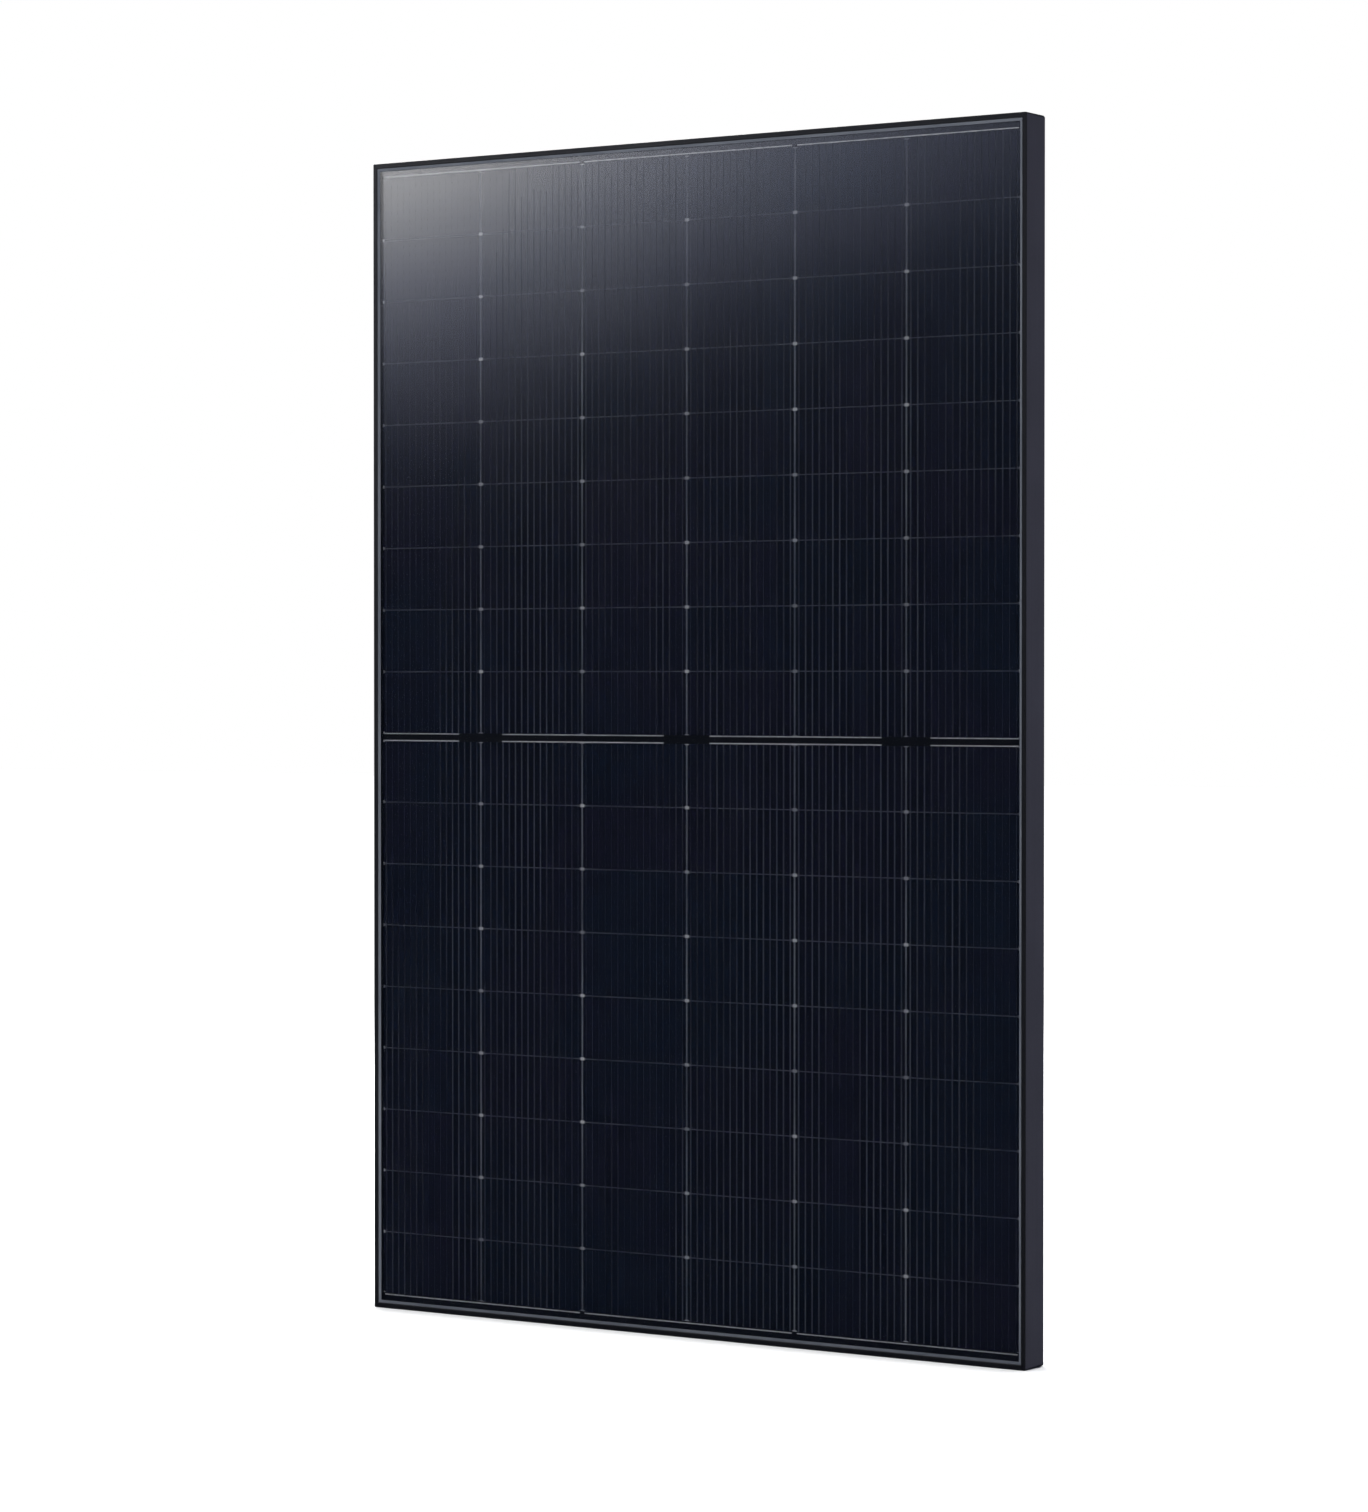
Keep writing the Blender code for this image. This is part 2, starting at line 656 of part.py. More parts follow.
def rod(name, radius, x_from, x_to):
    """A round bar along the cable glands' axis, to join or to cut with."""
    bm = bmesh.new()
    ends = [
        [
            bm.verts.new((
                x,
                y_of(GLAND_V) + radius * math.cos(2 * math.pi * step / ROUND_SIDES),
                MIDDLE_Z + radius * math.sin(2 * math.pi * step / ROUND_SIDES),
            ))
            for step in range(ROUND_SIDES)
        ]
        for x in (x_from, x_to)
    ]
    bm.faces.new(ends[0])
    bm.faces.new(ends[1])
    for step in range(ROUND_SIDES):
        after = (step + 1) % ROUND_SIDES
        bm.faces.new((ends[0][step], ends[0][after], ends[1][after], ends[1][step]))
    return object_from(bm, name, None)


def make_box_base(place, x):
    centre = (x, MIDDLE_Z)
    wall_v = (BOX_FLOOR_V, BOX_RIM_V)
    walls = rounded_rectangle(centre, BOX_SIZE, BOX_RADIUS)
    base = plate(f"junction_box_base_{place}", walls, wall_v, "box_plastic")
    foot_size = [side + 2 * BOX_FOOT for side in BOX_SIZE]
    foot = rounded_rectangle(centre, foot_size, BOX_RADIUS + BOX_FOOT)
    foot_v = (BOX_FLOOR_V, BOX_FLOOR_V + BOX_FOOT_THICKNESS)
    join(base, plate("foot_tool", foot, foot_v, None))
    outward = OUTWARD[place]
    wall_x = x + outward * BOX_SIZE[0] / 2
    if outward:
        neck_end = wall_x + outward * GLAND_LENGTH
        join(base, rod("neck_tool", GLAND_RADIUS, wall_x - outward * BOX_WALL / 2, neck_end))
    inner_size = [side - 2 * BOX_WALL for side in BOX_SIZE]
    cavity_v = (BOX_FLOOR_V + BOX_WALL, BOX_RIM_V + BOX_WALL)
    inner_radius = BOX_RADIUS - BOX_WALL
    cut(base, plate("cavity_tool", rounded_rectangle(centre, inner_size, inner_radius), cavity_v, None))
    floor_v = (BOX_FLOOR_V - BOX_WALL, BOX_FLOOR_V + 2 * BOX_WALL)
    cut(base, plate("opening_tool", rounded_rectangle(centre, BOX_OPENING, 2 * MM), floor_v, None))
    if outward:
        past = outward * 2 * BOX_WALL
        cut(base, rod("bore_tool", GLAND_BORE_RADIUS, wall_x - past, neck_end + past))


def make_box_lid(place, x):
    centre = (x, MIDDLE_Z)
    inner_size = [side + 2 * LID_FIT for side in BOX_SIZE]
    outer_size = [side + 2 * LID_WALL for side in inner_size]
    outer_radius = BOX_RADIUS + LID_FIT + LID_WALL
    bm = bmesh.new()
    outline = rounded_rectangle(centre, outer_size, outer_radius)
    bm.faces.new([bm.verts.new((px, y_of(LID_SKIRT_V), pz)) for px, pz in outline])
    extrude_all(bm, (0, LID_TOP_V - LID_SKIRT_V, 0))
    top_y = y_of(LID_TOP_V)
    top_edges = [e for e in bm.edges if all(abs(v.co.y - top_y) < MM / 100 for v in e.verts)]
    bmesh.ops.bevel(bm, geom=top_edges, offset=LID_BEVEL, segments=2, affect="EDGES", profile=0.5)
    lid = object_from(bm, f"junction_box_lid_{place}", "box_plastic")
    hollow_v = (LID_SKIRT_V - MM, BOX_RIM_V + LID_FIT)
    hollow = rounded_rectangle(centre, inner_size, BOX_RADIUS + LID_FIT)
    cut(lid, plate("lid_hollow_tool", hollow, hollow_v, None))
    field_v = (LID_TOP_V - LID_FIELD_DEPTH, LID_TOP_V + MM)
    cut(lid, plate("lid_field_tool", rounded_rectangle(centre, LID_FIELD, 3 * MM), field_v, None))
    outward = OUTWARD[place]
    if outward:
        clear = GLAND_RADIUS + LID_FIT
        edge_x = x + outward * BOX_SIZE[0] / 2
        reach = 3 * LID_WALL
        notch = rectangle(edge_x - reach, MIDDLE_Z - clear, edge_x + reach, MIDDLE_Z + clear)
        cut(lid, plate("lid_gland_tool", notch, (LID_SKIRT_V - MM, BOX_RIM_V), None))
    for sign in (-1, 1):
        edge_z = MIDDLE_Z + sign * outer_size[1] / 2
        for share in (-0.3, 0.3):
            notch_x = x + share * BOX_SIZE[0]
            half = LID_NOTCH[0] / 2
            past = 2 * LID_WALL
            notch = rectangle(notch_x - half, edge_z - past, notch_x + half, edge_z + past)
            notch_v = (LID_SKIRT_V - MM, LID_SKIRT_V + LID_NOTCH[1])
            cut(lid, plate("lid_notch_tool", notch, notch_v, None))


def make_adhesive(place, x):
    centre = (x, MIDDLE_Z)
    size = [side + 2 * BOX_FOOT - 2 * ADHESIVE_INSET for side in BOX_SIZE]
    outline = rounded_rectangle(centre, size, BOX_RADIUS)
    pad = plate(f"box_adhesive_{place}", outline, ADHESIVE_V, "box_adhesive")
    through = (ADHESIVE_V[0] - MM, ADHESIVE_V[1] + MM)
    cut(pad, plate("adhesive_tool", rounded_rectangle(centre, BOX_OPENING, 2 * MM), through, None))


def make_terminals(place, x):
    """Two copper plates, one each side of the ribbon slot."""
    half_z = TERMINAL_SIZE[1] / 2
    for name, sign in (("a", -1), ("b", 1)):
        near = x + sign * TERMINAL_START
        far = near + sign * TERMINAL_SIZE[0]
        outline = rectangle(min(near, far), MIDDLE_Z - half_z, max(near, far), MIDDLE_Z + half_z)
        plate(f"terminal_{place}_{name}", outline, TERMINAL_V, "tinned_copper")


def make_diode(place, x):
    """The bypass diode: a moulded body whose two legs reach out over the terminal plates."""
    z = MIDDLE_Z + DIODE_Z
    body = plate(
        f"bypass_diode_{place}", rounded_rectangle((x, z), DIODE_SIZE, 1 * MM, 2), DIODE_V, "diode_epoxy"
    )
    leg_end = TERMINAL_START + TERMINAL_SIZE[0] * 0.7
    leg_v = (DIODE_V[0] + DIODE_LEG[1] / 4, DIODE_V[0] + DIODE_LEG[1] * 5 / 4)
    half = DIODE_LEG[0]
    leg = rectangle(x - leg_end, z - half, x + leg_end, z + half)
    join(body, plate("diode_leg_tool", leg, leg_v, None))


def make_gland(place, x):
    """A compression nut on the box's neck, and the rubber seal that grips the cable inside it."""
    outward = OUTWARD[place]
    start = x + outward * BOX_SIZE[0] / 2
    nose = NUT_START + NUT_LENGTH
    shoulder = GLAND_LENGTH + GLAND_FIT
    nut = [
        (NUT_START, GLAND_RADIUS + GLAND_FIT), (NUT_START, NUT_RADIUS),
        (nose - NUT_NOSE[0], NUT_RADIUS), (nose, NUT_RADIUS - NUT_NOSE[1]),
        (nose, NUT_MOUTH_RADIUS), (shoulder, NUT_MOUTH_RADIUS), (shoulder, GLAND_RADIUS + GLAND_FIT),
    ]
    turned(f"gland_nut_{place}", nut, start, outward, "box_plastic")
    seal_end = GLAND_LENGTH - GLAND_FIT
    seal_start = seal_end - SEAL_LENGTH
    seal = [
        (seal_start, SEAL_BORE_RADIUS), (seal_start, GLAND_BORE_RADIUS - GLAND_FIT),
        (seal_end, GLAND_BORE_RADIUS - GLAND_FIT), (seal_end, SEAL_BORE_RADIUS),
    ]
    turned(f"gland_seal_{place}", seal, start, outward, "gland_rubber")


def make_junction_boxes():
    for place, x in BOX_PLACES.items():
        make_adhesive(place, x)
        make_box_base(place, x)
        make_box_lid(place, x)
        make_terminals(place, x)
        make_diode(place, x)
        if OUTWARD[place]:
            make_gland(place, x)


def main():
    clear_scene()
    make_frame()
    make_corner_keys()
    make_sealant()
    make_sheets()
    for half in HALVES:
        for column in range(COLUMNS):
            make_string(half, column)
        for pair in range(COLUMNS // 2):
            make_wires(half, pair)
    make_centre_ribbons()
    make_cover_strips()
    make_junction_boxes()


main()
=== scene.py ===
"""Looks for the framed solar panel: materials, fine shapes, floor, light and camera.

Positions are in the part's own frame, in metres: +Z up, the glass facing -Y, and the origin at the middle of
the lower edge.
"""

import math
import random

import bmesh
import bpy
from mathutils import Matrix, Vector


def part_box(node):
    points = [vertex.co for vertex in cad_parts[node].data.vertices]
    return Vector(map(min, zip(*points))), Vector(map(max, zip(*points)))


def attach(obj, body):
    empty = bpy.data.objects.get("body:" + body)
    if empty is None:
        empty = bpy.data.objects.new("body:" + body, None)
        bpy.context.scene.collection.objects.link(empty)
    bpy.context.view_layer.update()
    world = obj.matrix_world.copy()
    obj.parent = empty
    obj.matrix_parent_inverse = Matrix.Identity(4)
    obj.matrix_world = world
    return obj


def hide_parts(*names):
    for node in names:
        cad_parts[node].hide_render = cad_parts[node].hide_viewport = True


MM = 0.001

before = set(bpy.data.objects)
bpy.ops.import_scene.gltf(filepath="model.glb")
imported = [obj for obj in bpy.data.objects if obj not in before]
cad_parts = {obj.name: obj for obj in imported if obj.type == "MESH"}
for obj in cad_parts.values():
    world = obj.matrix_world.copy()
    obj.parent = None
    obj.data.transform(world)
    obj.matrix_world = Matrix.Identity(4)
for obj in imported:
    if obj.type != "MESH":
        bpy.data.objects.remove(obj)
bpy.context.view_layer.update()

# ---- driving dimensions ----

PLACES = ("left", "middle", "right")
OUTWARD = {"left": -1, "middle": 0, "right": 1}
HALVES = {"upper": 1, "lower": -1}
COLUMN_PAIRS = "abc"

COLUMNS = 6
ROWS_PER_HALF = 9
WIRES_PER_CELL = 16
CELL_HEIGHT = 91.1 * MM
CELL_CORNER = (6 * MM, 2 * MM)
FINGER_PITCH = 1.3 * MM
FINGERS_PER_PAD = 10.0
# Share of the wire pitch that the matt strip under a wire takes, where the wire's sheen is painted onto the
# cell as a pale band
STRIP_SHARE = 0.20
END_RIBBON_CLEARANCE = 2 * MM
END_RIBBON_WIDTH = 6 * MM
END_RIBBON_INSET = 3 * MM
# How far apart in the noise two neighbouring wires fade, in units of the noise
WIRE_TRACK_SPACING = 7.31
# How solid the clear glass looks from its front
GLASS_ALPHA = 0.16
# Strength under which the glow that the glass mirrors is dark
GLOW_CUTOFF = 0.024

# How far the lid stands out past the box's walls on each side
LID_OVERHANG = 1.7 * MM
FOOT_THICKNESS = 1.5 * MM
# Grip bars in the lid's sunken field
GRIP_BAR = (1.4 * MM, 22 * MM)
GRIP_BAR_PITCH = 3.6 * MM
GRIP_BAR_START = 13 * MM
# Gussets between foot and walls, and how far they reach at the foot and at the lid
GUSSET_WIDTH = 1.3 * MM
GUSSET_PITCH = 8 * MM
GUSSET_REACH = (3.2 * MM, 0.5 * MM)
# Snap lugs, and where they sit as a share of the box's width
LUG_WIDTH = 6 * MM
LUG_REACH = (1.2 * MM, 0.3 * MM)
LUG_PLACES = (-0.3, 0.3)
# How deep a moulded block starts inside the wall that it grows from
ROOT = 0.6 * MM

# ---- layout, read from the CAD nodes ----

rail_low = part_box("frame_rail_left")[0]
FRONT_Y = rail_low.y
HALF_WIDTH = -rail_low.x
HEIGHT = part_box("frame_rail_top")[1].z
MIDDLE_Z = HEIGHT / 2
wire_low, wire_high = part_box("wires_upper_a")
first_low, first_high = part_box("cell_string_upper_1")
last_low, last_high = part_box("cell_string_upper_6")
CELL_WIDTH = first_high.x - first_low.x
CELLS_SIDE = last_high.x
CELLS_START = first_low.z - MIDDLE_Z
CELLS_END = first_high.z - MIDDLE_Z
COLUMN_PITCH = (last_low.x - first_low.x) / (COLUMNS - 1)
ROW_GAP = (CELLS_END - CELLS_START - ROWS_PER_HALF * CELL_HEIGHT) / (ROWS_PER_HALF - 1)
ROW_PITCH = CELL_HEIGHT + ROW_GAP
WIRE_PITCH = CELL_WIDTH / WIRES_PER_CELL


# ---- materials ----


class Nodes:
    """Short names for building one material's node tree."""

    def __init__(self, name):
        """Starts a material with its plain Principled shader."""
        self.material = bpy.data.materials.new(name)
        self.material.use_nodes = True
        self.tree = self.material.node_tree
        self.shader = self.tree.nodes["Principled BSDF"]

    def add(self, kind, **settings):
        """Adds a node and sets its own settings."""
        node = self.tree.nodes.new(kind)
        for key, value in settings.items():
            setattr(node, key, value)
        return node

    def put(self, value, socket):
        """Links a socket, or sets a plain value."""
        if isinstance(value, bpy.types.NodeSocket):
            self.tree.links.new(value, socket)
        elif value is not None:
            socket.default_value = value

    def math(self, operation, a, b=None):
        """The result of an operation on one or two values."""
        node = self.add("ShaderNodeMath", operation=operation)
        for value, socket in zip((a, b), node.inputs):
            self.put(value, socket)
        return node.outputs[0]

    def mix(self, factor, a, b):
        """Colour a where the factor is 0, and b where it is 1."""
        node = self.add("ShaderNodeMix", data_type="RGBA")
        self.put(factor, node.inputs["Factor"])
        self.put(a, node.inputs["A"])
        self.put(b, node.inputs["B"])
        return node.outputs["Result"]

    def ramp(self, value, low, high, to_low=0.0, to_high=1.0, smooth=True):
        """Carries the range low to high over to another range, and holds its ends."""
        node = self.add("ShaderNodeMapRange")
        node.interpolation_type = "SMOOTHSTEP" if smooth else "LINEAR"
        for socket, given in zip(node.inputs, (value, low, high, to_low, to_high)):
            self.put(given, socket)
        return node.outputs[0]

    def place(self, scale=(1, 1, 1)):
        """Object coordinates, which are metres in the part's frame, scaled."""
        coordinates = self.add("ShaderNodeTexCoord").outputs["Object"]
        mapping = self.add("ShaderNodeMapping")
        mapping.inputs["Scale"].default_value = scale
        self.put(coordinates, mapping.inputs["Vector"])
        return mapping.outputs[0]

    def noise(self, scale, detail=3.0, roughness=0.5, stretch=(1, 1, 1)):
        """Noise with about scale waves to the metre. A small stretch makes them long that way."""
        node = self.add("ShaderNodeTexNoise")
        self.put(self.place(stretch), node.inputs["Vector"])
        node.inputs["Scale"].default_value = scale
        node.inputs["Detail"].default_value = detail
        node.inputs["Roughness"].default_value = roughness
        return node.outputs[0]

    def bump(self, height, distance, strength=1.0, normal=None):
        """A normal that follows a height, on top of another normal if one is given."""
        node = self.add("ShaderNodeBump")
        node.inputs["Strength"].default_value = strength
        node.inputs["Distance"].default_value = distance
        self.put(height, node.inputs["Height"])
        if normal is not None:
            self.put(normal, node.inputs["Normal"])
        return node.outputs[0]

    def set(self, **values):
        """Fills the shader's sockets by name, and returns the material."""
        for key, value in values.items():
            self.put(value, self.shader.inputs[key.replace("_", " ")])
        return self.material


def grey(value, blue=1.0):
    """An even grey, with its blue raised by a factor."""
    return (value, value, value * blue, 1)


def anodised():
    """Black anodised aluminium: satin, with drawing lines along the rails and a fine etched grain."""
    n = Nodes("black_anodised")
    grain = n.noise(2600, 2)
    cloud = n.noise(7, 4)
    along_z = n.noise(420, 3, 0.6, (1, 1, 0.006))
    along_x = n.noise(420, 3, 0.6, (0.006, 1, 1))
    lines = n.math("MULTIPLY", along_z, along_x)
    colour = n.mix(n.ramp(cloud, 0.3, 0.7), (0.0065, 0.0066, 0.0086, 1), (0.0095, 0.0095, 0.0122, 1))
    roughness = n.math("ADD", n.ramp(cloud, 0.25, 0.75, 0.40, 0.47), n.ramp(lines, 0.1, 0.4, -0.03, 0.03))
    height = n.math("ADD", n.math("MULTIPLY", grain, 0.5), lines)
    return n.set(
        Base_Color=colour, Metallic=0.0, Roughness=roughness, IOR=1.62,
        Normal=n.bump(height, 0.02 * MM, 0.5),
    )


def mill_aluminium():
    """Bare aluminium with the fine lines of its mill finish."""
    n = Nodes("mill_aluminium")
    lines = n.noise(900, 3, 0.6, (1, 0.02, 1))
    colour = n.mix(lines, (0.48, 0.48, 0.50, 1), (0.66, 0.66, 0.67, 1))
    return n.set(
        Base_Color=colour, Metallic=1.0, Roughness=n.ramp(lines, 0.3, 0.7, 0.3, 0.45),
        Normal=n.bump(lines, 0.03 * MM, 0.4),
    )


def solar_glass():
    """Low-reflection rolled glass: nearly clear, faintly wavy, with a front that spreads its reflection."""
    n = Nodes("solar_glass")
    wave = n.noise(45, 2)
    haze = n.noise(5, 3)
    return n.set(
        Base_Color=(0.003, 0.004, 0.006, 1), Alpha=GLASS_ALPHA, IOR=2.2, Specular_IOR_Level=1.0,
        Roughness=n.ramp(haze, 0.3, 0.7, 0.12, 0.145),
        Normal=n.bump(wave, 0.05 * MM, 0.15),
    )


def silicon_cell():
    """Blue-black cell: painted wire sheen on a matt strip under each wire, painted shade beside it, printed
    fingers and pads, faint hue change.

    Its map has one unit to a wire across, and one to a finger up."""
    n = Nodes("silicon_cell")
    local = n.add("ShaderNodeSeparateXYZ")
    n.put(n.add("ShaderNodeUVMap", uv_map="cell").outputs[0], local.inputs[0])
    across, up = local.outputs[0], local.outputs[1]
    from_wire = n.math("ABSOLUTE", n.math("SUBTRACT", n.math("FRACT", across), 0.5))
    strip = n.ramp(from_wire, STRIP_SHARE / 2 + 0.015, STRIP_SHARE / 2 - 0.015)
    finger = n.ramp(n.math("ABSOLUTE", n.math("SUBTRACT", n.math("FRACT", up), 0.5)), 0.10, 0.03)
    pad_up = n.math("FRACT", n.math("DIVIDE", up, FINGERS_PER_PAD))
    from_pad = n.math("ABSOLUTE", n.math("SUBTRACT", pad_up, 0.5))
    pad = n.math("MULTIPLY", n.ramp(from_wire, 0.042, 0.036), n.ramp(from_pad, 0.045, 0.035))
    tint = n.add("ShaderNodeAttribute", attribute_name="tint").outputs["Fac"]
    hue = n.noise(3.1, 3, 0.55)
    hue = n.math("ADD", hue, n.math("MULTIPLY", n.math("SUBTRACT", tint, 0.5), 0.2))
    warm = n.ramp(hue, 0.36, 0.62)
    blue = n.mix(warm, (0.0030, 0.0076, 0.0200, 1), (0.0068, 0.0062, 0.0200, 1))
    blue = n.mix(n.math("MULTIPLY", finger, 0.2), blue, (0.016, 0.019, 0.028, 1))
    # The painted sheen and shade of each wire fade in and out on their own, and so do those of groups of
    # wires.
    number = n.math("FLOOR", across)
    height = n.add("ShaderNodeSeparateXYZ")
    n.put(n.place(), height.inputs[0])
    track = n.add("ShaderNodeCombineXYZ")
    n.put(n.math("MULTIPLY", number, WIRE_TRACK_SPACING), track.inputs[0])
    n.put(n.math("MULTIPLY", height.outputs[2], 1.4), track.inputs[1])
    wander = n.add("ShaderNodeTexNoise")
    n.put(track.outputs[0], wander.inputs["Vector"])
    wander.inputs["Scale"].default_value = 1.0
    wander.inputs["Detail"].default_value = 3.0
    group = n.noise(9, 2, 0.5, (1, 1, 0.07))
    each = n.ramp(wander.outputs[0], 0.34, 0.62, 0.2, 1.0)
    painted_line_strength = n.math("MULTIPLY", each, n.ramp(group, 0.44, 0.57, 0.05, 1.0))
    # The painted wire sheen and shade hardly show in the cells nearest the top left corner.
    below_top = n.math("SUBTRACT", HEIGHT, height.outputs[2])
    from_side = n.math("ADD", height.outputs[0], HALF_WIDTH)
    from_corner = n.math("ADD", below_top, n.math("MULTIPLY", from_side, 0.25))
    painted_line_strength = n.math("MULTIPLY", painted_line_strength, n.ramp(from_corner, 0.12, 0.24, 0.08, 1.0))
    # Painted shade: the cell is darker beside each wire, as the wire's shadow.
    between = n.mix(warm, (0.0002, 0.0022, 0.0105, 1), (0.0016, 0.0016, 0.0105, 1))
    # Painted highlight: the wire's sheen as a pale band in the strip, over the painted shade.
    colour = n.mix(painted_line_strength, blue, n.mix(strip, between, (0.066, 0.075, 0.104, 1)))
    colour = n.mix(n.math("MULTIPLY", pad, 0.35), colour, (0.07, 0.07, 0.075, 1))
    matt = n.math("MINIMUM", n.math("MULTIPLY", n.math("MULTIPLY", strip, painted_line_strength), 2.2), 0.65)
    roughness = n.math("ADD", n.ramp(hue, 0.3, 0.7, 0.145, 0.17), matt)
    return n.set(Base_Color=colour, Roughness=roughness, IOR=1.62)


def tinned(name, tone, roughness, metallic):
    """Solder-coated copper: soft bright metal with streaks along it."""
    n = Nodes(name)
    streak = n.noise(350, 4, 0.6, (0.15, 1, 1))
    patch = n.noise(60, 3)
    streaks = n.ramp(streak, 0.3, 0.7, 0.82, 1.1)
    shade = n.math("MULTIPLY", streaks, n.ramp(patch, 0.3, 0.7, 0.85, 1.08))
    colour = n.mix(shade, (0, 0, 0, 1), (tone, tone, tone * 1.03, 1))
    return n.set(
        Base_Color=colour, Metallic=metallic,
        Roughness=n.ramp(streak, 0.3, 0.7, roughness, roughness + 0.12),
        Normal=n.bump(streak, 0.04 * MM, 0.4),
    )


def wire_metal():
    """Round tinned wires, each with a painted glint: painted a little lighter or darker, and changing along
    its length.
    """
    n = Nodes("wire_metal")
    tint = n.add("ShaderNodeAttribute", attribute_name="tint").outputs["Fac"]
    wander = n.noise(9, 2, 0.5, (1, 1, 0.35))
    # Painted glint: the wire's tint and a slow noise along it make its colour lighter or darker.
    own = n.ramp(tint, 0, 1, 0.35, 1.25, smooth=False)
    shade = n.math("MULTIPLY", own, n.ramp(wander, 0.35, 0.65, 0.6, 1.2))
    colour = n.mix(shade, (0, 0, 0, 1), (0.125, 0.135, 0.16, 1))
    return n.set(Base_Color=colour, Metallic=0.35, Roughness=0.42)


def black_film(name, tone, roughness, ior):
    """Black film that hides the ribbons, with a fine woven mark pressed into it."""
    n = Nodes(name)
    weave = n.noise(700, 2)
    soft = n.noise(30, 3)
    colour = n.mix(soft, grey(tone * 0.6, 1.4), grey(tone * 1.4, 1.35))
    return n.set(
        Base_Color=colour, Roughness=n.ramp(weave, 0.3, 0.7, roughness, roughness + 0.06), IOR=ior,
        Normal=n.bump(weave, 0.03 * MM, 0.2),
    )


def sheet_front():
    """The backsheet's inner face, seen through the glass in the gaps and margins.

    It has a painted glint where the cut corners of four cells meet, and is darkest outside the cells."""
    n = Nodes("backsheet_front")
    soft = n.noise(40, 3)
    place = n.add("ShaderNodeSeparateXYZ")
    n.put(n.place(), place.inputs[0])
    edge = n.math("ABSOLUTE", place.outputs[0])
    side_margin = n.ramp(edge, CELLS_SIDE + 0.2 * MM, CELLS_SIDE + 0.8 * MM)
    from_middle = n.math("ABSOLUTE", n.math("SUBTRACT", place.outputs[2], MIDDLE_Z))
    end_margin = n.ramp(from_middle, CELLS_END - 0.2 * MM, CELLS_END + 0.4 * MM)
    margin = n.math("MAXIMUM", side_margin, end_margin)
    gap = n.mix(soft, (0.12, 0.128, 0.16, 1), (0.16, 0.17, 0.21, 1))
    border = n.mix(soft, (0.010, 0.011, 0.015, 1), (0.016, 0.017, 0.022, 1))
    to_column = n.math("PINGPONG", place.outputs[0], COLUMN_PITCH / 2)
    to_row = n.math("PINGPONG", n.math("SUBTRACT", from_middle, CELLS_START - ROW_GAP / 2), ROW_PITCH / 2)
    near_column = n.ramp(to_column, 4.5 * MM, 2.5 * MM)
    crossing = n.math("MULTIPLY", near_column, n.ramp(to_row, 3 * MM, 1.5 * MM))
    uneven = n.noise(4.3, 2, 0.6)
    # Painted shade: only the column gaps get the paler colour, so the row gaps stay darker, as shade.
    between_columns = n.mix(n.ramp(uneven, 0.4, 0.6), (0.15, 0.16, 0.20, 1), (0.26, 0.275, 0.325, 1))
    gap = n.mix(n.ramp(to_column, 2 * MM, 1.6 * MM), gap, between_columns)
    # Painted glint: a near-white patch where four cut corners meet, stronger at some crossings than others.
    painted_corner_glint = n.math("MULTIPLY", crossing, n.ramp(uneven, 0.4, 0.6, 0.3, 1.0))
    gap = n.mix(painted_corner_glint, gap, (0.78, 0.79, 0.82, 1))
    return n.set(Base_Color=n.mix(margin, gap, border), Roughness=0.24, IOR=1.6)


def sheet_rear():
    """Matt black rear film: the cells and ribbons under it show as a shallow relief, with painted shade in
    the seams and painted highlight on the ridges.
    """
    n = Nodes("backsheet_rear")
    place = n.add("ShaderNodeSeparateXYZ")
    n.put(n.place(), place.inputs[0])
    column = n.math("PINGPONG", place.outputs[0], COLUMN_PITCH / 2)
    seam_x = n.ramp(column, 3.2 * MM, 1.0 * MM)
    from_middle = n.math("ABSOLUTE", n.math("SUBTRACT", place.outputs[2], MIDDLE_Z))
    row = n.math("PINGPONG", n.math("SUBTRACT", from_middle, CELLS_START - ROW_GAP / 2), ROW_PITCH / 2)
    seam_z = n.ramp(row, 2.6 * MM, 0.6 * MM)
    inside_x = n.ramp(n.math("ABSOLUTE", place.outputs[0]), CELLS_SIDE + 1.5 * MM, CELLS_SIDE - 1.5 * MM)
    inside_z = n.ramp(from_middle, CELLS_END + 2 * MM, CELLS_END - 1 * MM)
    inside = n.math("MULTIPLY", inside_x, inside_z)
    seams = n.math("MAXIMUM", seam_x, seam_z)
    relief = n.math("MULTIPLY", n.math("SUBTRACT", 1.0, seams), inside)
    wire = n.math("PINGPONG", n.math("ADD", place.outputs[0], WIRE_PITCH / 2), WIRE_PITCH / 2)
    ridge = n.math("MULTIPLY", n.ramp(wire, 1.6 * MM, 0.2 * MM), n.math("MULTIPLY", relief, 0.35))
    height = n.math("ADD", relief, ridge)
    grain = n.noise(1800, 2)
    dust = n.noise(6, 5, 0.6)
    colour = n.mix(n.ramp(dust, 0.3, 0.75), (0.0185, 0.019, 0.0215, 1), (0.0235, 0.024, 0.0265, 1))
    # Painted shade: darker in the seams between the cells.
    painted_seam_shade = n.math("MULTIPLY", seams, inside)
    colour = n.mix(n.math("MULTIPLY", painted_seam_shade, 0.55), colour, (0.006, 0.0062, 0.007, 1))
    # Painted highlight: lighter along the ridges over the wires.
    colour = n.mix(n.math("MULTIPLY", ridge, 0.5), colour, (0.045, 0.046, 0.05, 1))
    fine = n.bump(grain, 0.02 * MM, 0.4)
    return n.set(
        Base_Color=colour, Roughness=n.ramp(dust, 0.3, 0.7, 0.38, 0.48),
        Normal=n.bump(height, 0.2 * MM, 1.0, fine),
    )


